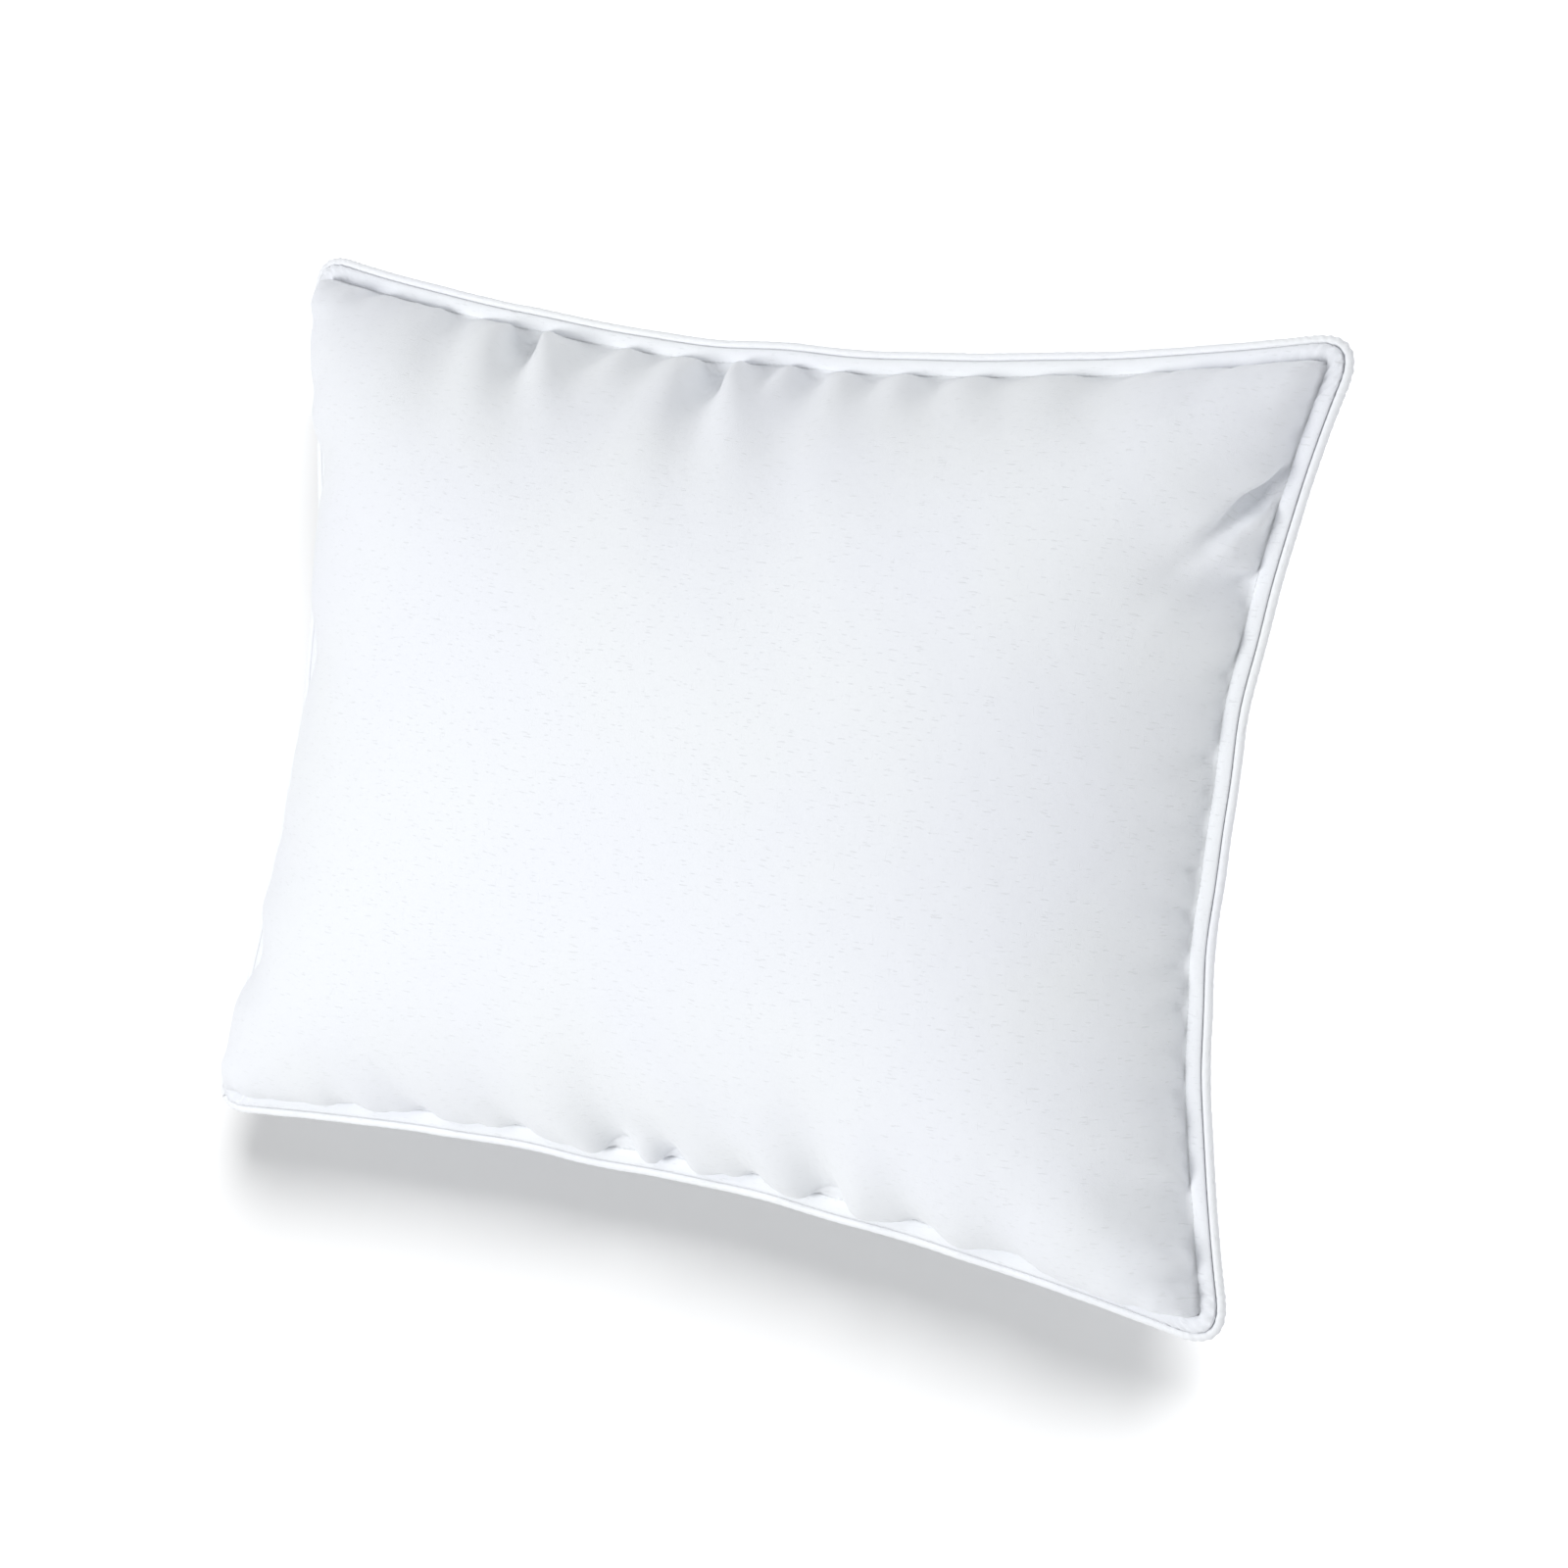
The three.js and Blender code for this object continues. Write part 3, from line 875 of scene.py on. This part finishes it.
def stitch_run(points, outward, level, side, sizes):
    """Separate lockstitches along a line: each a short arched thread that dips at both ends."""
    along = arc_lengths(points)
    count = int(along[-1] / sizes.stitch_length)
    radius = sizes.thread_width / 2
    share = np.linspace(STITCH_ENDS, 1 - STITCH_ENDS, STITCH_STATIONS)
    arch = radius * (1.5 * np.sin(np.pi * share) ** 0.6 - 0.9)
    thick = radius * (0.75 + 0.35 * np.sin(np.pi * share))
    angles = np.linspace(0, 2 * np.pi, STITCH_POINTS, endpoint=False)
    height = level + arch[:, None] + thick[:, None] * np.sin(angles)[None]
    index = np.arange(STITCH_STATIONS * STITCH_POINTS).reshape(STITCH_STATIONS, STITCH_POINTS)
    turned = np.roll(index, -1, 1)
    quads = [index[:-1], turned[:-1], turned[1:], index[1:]]
    tube = np.stack([q.ravel() for q in quads], 1)
    rng = np.random.default_rng(STITCH_SEED)
    vertices, faces = [], []
    for number in range(count):
        where = (number + share) / count * along[-1]
        place = np.stack([np.interp(where, along, points[:, k]) for k in range(2)], 1)
        out = np.stack([np.interp(where, along, outward[:, k]) for k in range(2)], 1)
        slant = rng.uniform(-STITCH_SWAY, STITCH_SWAY) + (share - 0.5) * STITCH_SLANT
        spread = slant[:, None] + thick[:, None] * np.cos(angles)[None]
        ring = place[:, None] + out[:, None] * spread[..., None]
        level_ring = (SEAM_HEIGHT + side * height)[..., None]
        vertices.append(np.concatenate([ring, level_ring], 2).reshape(-1, 3))
        base = number * index.size
        faces += (base + tube).tolist()
        faces += [(base + index[0, ::-1]).tolist(), (base + index[-1]).tolist()]
    if side > 0:
        faces = [face[::-1] for face in faces]
    return np.concatenate(vertices), faces


TOPSTITCH_SHIFT = 0.0006  # the stitches show just outside the crown's foot
TOPSTITCH_SINK = 0.00045  # and lie this far into the flange's cloth


def topstitch_line(sizes):
    """Points and outward directions of the topstitching, once round and back to the start."""
    points, outward = loop_frame(sizes, stitch_inset(sizes) - TOPSTITCH_SHIFT, LOOP_STEPS)
    return np.concatenate([points, points[:1]]), np.concatenate([outward, outward[:1]])


def closing_line(sizes):
    """The stretch of the left short edge that the frame's closing thread runs along."""
    low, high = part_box("closing_thread")
    points, outward = loop_frame(sizes, PIPING_RADIUS + sizes.flange_width / 2, LOOP_STEPS)
    kept = (points[:, 0] < 0) & (points[:, 1] > low.y) & (points[:, 1] < high.y)
    order = np.argsort(-points[kept][:, 1])
    return points[kept][order], outward[kept][order]


# --- Materials ----------------------------------------------------------------------------------


class Shader:
    """Adds nodes to a new material and joins them."""

    def __init__(self, name):
        self.material = bpy.data.materials.new(name)
        self.material.use_nodes = True
        self.nodes = self.material.node_tree.nodes
        self.links = self.material.node_tree.links

    def join(self, value, socket):
        """Sets an input to a plain value, or links another node's output to it."""
        if isinstance(value, bpy.types.NodeSocket):
            self.links.new(value, socket)
        else:
            socket.default_value = value

    def add(self, kind, values, **settings):
        """A node with its inputs, by name or number, and its settings."""
        node = self.nodes.new(kind)
        for key, value in settings.items():
            setattr(node, key, value)
        for socket, value in values.items():
            self.join(value, node.inputs[socket])
        return node

    def math(self, operation, a, b=0.0):
        return self.add("ShaderNodeMath", {0: a, 1: b}, operation=operation).outputs[0]

    def plus(self, a, b):
        return self.math("ADD", a, b)

    def times(self, a, b):
        return self.math("MULTIPLY", a, b)

    def waves(self, value, pitch):
        """A sine wave over a distance."""
        return self.math("SINE", self.times(value, 2 * math.pi / pitch))

    def noise(self, place, scale, detail=2.0, roughness=0.5):
        """Noise of a place whose axes are scaled by three numbers, per metre."""
        spread = self.add("ShaderNodeVectorMath", {0: place, 1: scale}, operation="MULTIPLY")
        values = {"Vector": spread.outputs[0], "Scale": 1.0}
        values.update({"Detail": detail, "Roughness": roughness})
        return self.add("ShaderNodeTexNoise", values).outputs["Fac"]

    def ramp(self, value, low, high):
        """0 under low and 1 over high, smooth between."""
        limits = {"Value": value, "From Min": low, "From Max": high}
        node = self.add("ShaderNodeMapRange", limits, interpolation_type="SMOOTHSTEP")
        return node.outputs["Result"]

    def mix(self, share, first, second):
        """The first colour where share is 0, and the second where it is 1."""
        values = {0: share, 6: first, 7: second}
        return self.add("ShaderNodeMix", values, data_type="RGBA").outputs[2]

    def finish(self, colour, height, depth, roughness, sheen):
        """Joins up the surface. depth is how deep its relief goes, in metres."""
        bump = self.add("ShaderNodeBump", {"Height": height, "Distance": depth, "Strength": 1.0})
        surface = {
            "Base Color": colour,
            "Normal": bump.outputs["Normal"],
            "Roughness": roughness,
            "Sheen Weight": sheen,
            "Sheen Roughness": 0.45,
            "Specular IOR Level": 0.25,
        }
        for socket, value in surface.items():
            self.join(value, self.nodes["Principled BSDF"].inputs[socket])
        return self.material


def shade(colour, *factors):
    """A colour made darker or lighter, by one factor or by one for each channel."""
    if len(factors) == 1:
        factors = factors * 3
    return tuple(min(1.0, c * f) for c, f in zip(colour, factors)) + (1.0,)


def woven_cotton(name, colour, pitch, slubs):
    """Fine plain-woven cotton on its flat cloth map: threads, slubs both ways, soft creasing,
    painted shade between the yarns.
    """
    s = Shader(name)
    place = s.add("ShaderNodeUVMap", {}, uv_map=CLOTH_MAP).outputs["UV"]
    split = s.add("ShaderNodeSeparateXYZ", {0: place}).outputs
    threads = s.times(s.waves(split[0], pitch), s.waves(split[1], pitch))
    weft_slub = s.ramp(s.noise(place, (150.0, 1000.0, 1.0), 1.0), 0.64, 0.74)
    warp_slub = s.ramp(s.noise(place, (1000.0, 130.0, 1.0), 1.0), 0.68, 0.78)
    nap = s.noise(place, (2600.0, 2600.0, 1.0))
    crumple = s.noise(place, (42.0, 42.0, 1.0), 4.0, 0.55)
    tone = s.ramp(s.noise(place, (7.0, 7.0, 1.0)), 0.35, 0.65)
    slub = s.plus(weft_slub, s.times(warp_slub, 0.5))
    shaded = s.mix(tone, shade(colour, 1.0), shade(colour, 0.992, 0.990, 1.012))
    shaded = s.mix(s.times(slub, slubs), shaded, shade(colour, 0.89))
    # painted shade: the weave's low places, between the yarns, are mixed darker
    shaded = s.mix(s.times(s.ramp(threads, 0.2, -0.8), 0.10), shaded, shade(colour, 0.86))
    height = s.plus(s.times(threads, 0.35), s.times(slub, 0.9))
    height = s.plus(height, s.times(nap, 0.5))
    height = s.plus(height, s.times(crumple, 6.0))
    roughness = s.plus(0.62, s.times(s.ramp(nap, -0.6, 1.3), 0.2))
    return s.finish(shaded, height, 0.00012, roughness, sheen=0.18)


def plied_thread(name, colour, pitch):
    """Twisted thread or cord: slanting plies in the object's own space, stray fibre, painted shade
    in the grooves between plies.
    """
    s = Shader(name)
    place = s.add("ShaderNodeTexCoord", {}).outputs["Object"]
    split = s.add("ShaderNodeSeparateXYZ", {0: place}).outputs
    plies = s.waves(s.plus(split[0], s.plus(split[1], split[2])), pitch)
    fibre = s.noise(place, (2200.0, 2200.0, 2200.0))
    # painted shade: the grooves between the plies are mixed darker
    painted_groove_shade = s.times(s.ramp(plies, 0.1, -0.9), 0.35)
    shaded = s.mix(painted_groove_shade, shade(colour, 1.0), shade(colour, 0.78))
    height = s.plus(s.times(plies, 0.6), s.times(fibre, 0.4))
    return s.finish(shaded, height, 0.00008, s.plus(0.5, s.times(fibre, 0.2)), sheen=0.1)


def loose_fibre(name, colour):
    """Carded fibre: tangled strands and soft lumps in the object's own space."""
    s = Shader(name)
    place = s.add("ShaderNodeTexCoord", {}).outputs["Object"]
    strands = s.noise(place, (900.0, 240.0, 600.0), 6.0, 0.7)
    lumps = s.noise(place, (30.0, 30.0, 30.0), 3.0)
    shaded = s.mix(s.ramp(lumps, 0.3, 0.7), shade(colour, 1.0), shade(colour, 0.93))
    height = s.plus(s.times(strands, 0.5), lumps)
    return s.finish(shaded, height, 0.0015, s.plus(0.8, s.times(strands, 0.15)), sheen=0.3)


def studio_floor(name, colour):
    """A matt, nearly even floor."""
    s = Shader(name)
    place = s.add("ShaderNodeTexCoord", {}).outputs["Object"]
    grain = s.noise(place, (3.0, 3.0, 3.0))
    tone = s.mix(grain, shade(colour, 1.0), shade(colour, 0.995))
    return s.finish(tone, grain, 0.0001, s.plus(0.9, s.times(grain, 0.02)), sheen=0.0)


# --- Operators ----------------------------------------------------------------------------------

YARN_PITCH = 0.00062  # from one yarn of the cotton to the next but one
CORD_PLY, THREAD_PLY = 0.0012, 0.0005  # from one ply to the next

stuffed = {}  # the front and back grids of points, once the pocket has been stuffed


def panel_grid(name):
    """The front or the back panel's grid of points, which the stuffing step makes."""
    if name not in stuffed:
        raise RuntimeError("Stuff the pocket first")
    return stuffed[name]


class PILLOW_OT_stuff(bpy.types.Operator):
    """Fill the sewn pocket: simulate both panels puffing out over their flat cut"""

    bl_idname = "pillow.stuff"
    bl_label = "Stuff the Pocket"

    def execute(self, context):
        stuffed.update(stuff(context.scene.pillow_sizes))
        return {"FINISHED"}


class PILLOW_OT_panels(bpy.types.Operator):
    """Sew the front and back ticking panels, with their flange and turned-under edges"""

    bl_idname = "pillow.panels"
    bl_label = "Sew the Panels"

    def execute(self, context):
        sizes, colours = context.scene.pillow_sizes, context.scene.pillow_colours
        ticking = woven_cotton("ticking_cotton", colours.ticking, YARN_PITCH, 0.5)
        for name, side, seed in PANELS:
            grid = panel_grid(name)
            piece = sew_panel(sizes, grid, side, f"{name}_panel_cloth", ticking, seed)
            settle_on_frame(piece, f"{name}_panel")
        return {"FINISHED"}


class PILLOW_OT_fill(bpy.types.Operator):
    """Make the loose fibre fill inside the panels"""

    bl_idname = "pillow.fill"
    bl_label = "Make the Fill"

    def execute(self, context):
        colours = context.scene.pillow_colours
        grids = (panel_grid("front"), panel_grid("back"))
        piece = fill_pocket(grids, loose_fibre("loose_fibre", colours.fibre))
        settle_on_frame(piece, "fibre_fill")
        return {"FINISHED"}


class PILLOW_OT_piping(bpy.types.Operator):
    """Lay the filler cord and wrap the bias tape round it"""

    bl_idname = "pillow.piping"
    bl_label = "Make the Piping"

    def execute(self, context):
        sizes, colours = context.scene.pillow_sizes, context.scene.pillow_colours
        tape = wrap_piping(sizes, woven_cotton("piping_cotton", colours.piping, YARN_PITCH, 0.4))
        settle_on_frame(tape, "piping_tape")
        cord = twist_cord(sizes, plied_thread("filler_cord", colours.filler_cord, CORD_PLY))
        settle_on_frame(cord, "piping_filler_cord")
        return {"FINISHED"}


class PILLOW_OT_stitches(bpy.types.Operator):
    """Sew the topstitching on both faces and the closing stitches"""

    bl_idname = "pillow.stitches"
    bl_label = "Sew the Stitches"

    def execute(self, context):
        sizes, colours = context.scene.pillow_sizes, context.scene.pillow_colours
        thread = plied_thread("sewing_thread", colours.thread, THREAD_PLY)
        points, outward = topstitch_line(sizes)
        level = sizes.flange_half - TOPSTITCH_SINK
        for name, side in (("needle", 1), ("bobbin", -1)):
            run = stitch_run(points, outward, level, side, sizes)
            piece = new_piece(f"topstitch_{name}_stitches", *run, thread)
            settle_on_frame(piece, f"topstitch_{name}_thread")
        points, outward = closing_line(sizes)
        run = stitch_run(points, outward, sizes.flange_half, 1, sizes)
        piece = new_piece("closing_stitches", *run, thread)
        settle_on_frame(piece, "closing_thread")
        return {"FINISHED"}


class PILLOW_OT_stage(bpy.types.Operator):
    """Set the pale floor, the soft lights and the camera"""

    bl_idname = "pillow.stage"
    bl_label = "Set the Stage"

    def execute(self, context):
        make_camera(context)
        make_lights(context, make_floor(context))
        return {"FINISHED"}


# --- Stage --------------------------------------------------------------------------------------

CAMERA_LENS, CAMERA_SENSOR = 85.0, 36.0  # millimetres
CAMERA_TURNS = (2.99, -31.8, -7.35)  # degrees about the camera's own X, Y and Z
CAMERA_PLACE = (-0.0275, 0.0137, -1.872)  # the seam plane's middle, in the camera's space
CAMERA_REACH = 50.0
FLOOR_HALF = 14.0
WORLD_COLOUR, WORLD_STRENGTH = (0.97, 0.985, 1.0, 1.0), 0.47
# The soft lights on the pillow: name, place, width and power.
SOFT_LIGHTS = (
    ("key", (-0.86, -0.72, 2.95), 1.1, 51.5),
    ("top_fill", (0.25, 1.05, 3.05), 1.1, 11.0),
)
# The suns on the floor: name, shift, spread in degrees, strength, and whether the pillow throws a
# shadow in it. shift is how far a point one seam height up would throw its shadow.
FLOOR_SUNS = (
    ("floor_fill", (0.0, 0.0), 10.0, 0.35, False),
    ("floor_shadow", (-0.043, -0.060), 26.0, 3.0, True),
)


def new_object(context, name, data):
    """An object in the scene's own collection."""
    thing = bpy.data.objects.new(name, data)
    context.scene.collection.objects.link(thing)
    return thing


def facing(way):
    """The turn that points a light along a direction."""
    return Vector(way).to_track_quat("-Z", "Y").to_euler()


def make_camera(context):
    """The camera, over the low X side and looking down across the pillow."""
    data = bpy.data.cameras.new("camera")
    data.lens = CAMERA_LENS
    data.sensor_width = CAMERA_SENSOR
    data.dof.use_dof = False
    data.clip_end = CAMERA_REACH
    camera = new_object(context, "camera", data)
    about_x, about_y, about_z = (math.radians(a) for a in CAMERA_TURNS)
    turn = (
        Matrix.Rotation(about_z, 3, "Z")
        @ Matrix.Rotation(about_x, 3, "X")
        @ Matrix.Rotation(about_y, 3, "Y")
    )
    back = turn.transposed()
    place = Vector((0, 0, SEAM_HEIGHT)) - back @ Vector(CAMERA_PLACE)
    camera.matrix_world = Matrix.Translation(place) @ back.to_4x4()
    context.scene.camera = camera


def make_floor(context):
    """The plain pale floor that the pillow lies on."""
    mesh = bpy.data.meshes.new("studio_floor")
    corners = [(x * FLOOR_HALF, y * FLOOR_HALF, 0) for x, y in ((-1, -1), (1, -1), (1, 1), (-1, 1))]
    mesh.from_pydata(corners, [], [(0, 1, 2, 3)])
    mesh.materials.append(studio_floor("studio_floor", context.scene.pillow_colours.floor))
    floor = new_object(context, "studio_floor", mesh)
    return floor


def linked_only(name, floor, state):
    """A collection that lights can be linked through, with the floor taken in or left out."""
    group = bpy.data.collections.new(name)
    group.objects.link(floor)
    group.collection_objects[0].light_linking.link_state = state
    return group


def make_lights(context, floor):
    """Soft lights for the pillow, suns for the floor, and a pale world round both."""
    world = bpy.data.worlds.new("studio")
    world.use_nodes = True
    world.node_tree.nodes["Background"].inputs["Color"].default_value = WORLD_COLOUR
    world.node_tree.nodes["Background"].inputs["Strength"].default_value = WORLD_STRENGTH
    context.scene.world = world
    floor_only = linked_only("floor_only", floor, "INCLUDE")
    not_floor = linked_only("all_but_floor", floor, "EXCLUDE")
    for name, place, size, power in SOFT_LIGHTS:
        data = bpy.data.lights.new(name, "AREA")
        data.shape = "DISK"
        data.size = size
        data.energy = power
        light = new_object(context, name, data)
        light.location = place
        light.rotation_euler = facing(Vector((0.0, 0.0, SEAM_HEIGHT)) - Vector(place))
        light.light_linking.receiver_collection = not_floor
    for name, shift, spread, strength, shadowed in FLOOR_SUNS:
        data = bpy.data.lights.new(name, "SUN")
        data.energy = strength
        data.angle = math.radians(spread)
        light = new_object(context, name, data)
        light.rotation_euler = facing((*shift, -SEAM_HEIGHT))
        light.light_linking.receiver_collection = floor_only
        light.light_linking.blocker_collection = not_floor if shadowed else floor_only
    context.scene.view_settings.view_transform = "Standard"


# --- Add-on -------------------------------------------------------------------------------------

STEPS = (
    PILLOW_OT_stage,
    PILLOW_OT_stuff,
    PILLOW_OT_fill,
    PILLOW_OT_panels,
    PILLOW_OT_piping,
    PILLOW_OT_stitches,
)


class PILLOW_PT_sidebar(bpy.types.Panel):
    """The pillow's sizes, colours and making steps"""

    bl_idname = "PILLOW_PT_sidebar"
    bl_label = "Bed Pillow"
    bl_space_type = "VIEW_3D"
    bl_region_type = "UI"
    bl_category = "Pillow"

    def draw(self, context):
        layout = self.layout
        for group in (context.scene.pillow_sizes, context.scene.pillow_colours):
            box = layout.box()
            for name in group.bl_rna.properties.keys():
                if name not in {"rna_type", "name"}:
                    box.prop(group, name)
        for step in STEPS:
            layout.operator(step.bl_idname)


CLASSES = (PillowSizes, PillowColours) + STEPS + (PILLOW_PT_sidebar,)


def register():
    """Adds the classes and the two groups of settings."""
    for item in CLASSES:
        bpy.utils.register_class(item)
    bpy.types.Scene.pillow_sizes = bpy.props.PointerProperty(type=PillowSizes)
    bpy.types.Scene.pillow_colours = bpy.props.PointerProperty(type=PillowColours)


def unregister():
    """Takes them away again."""
    del bpy.types.Scene.pillow_colours
    del bpy.types.Scene.pillow_sizes
    for item in reversed(CLASSES):
        bpy.utils.unregister_class(item)


def main():
    """Makes the pillow and its stage."""
    register()
    bpy.ops.pillow.stage()
    bpy.ops.pillow.stuff()
    bpy.ops.pillow.fill()
    bpy.ops.pillow.panels()
    bpy.ops.pillow.piping()
    bpy.ops.pillow.stitches()
    bpy.context.view_layer.update()


if __name__ == "__main__":
    main()
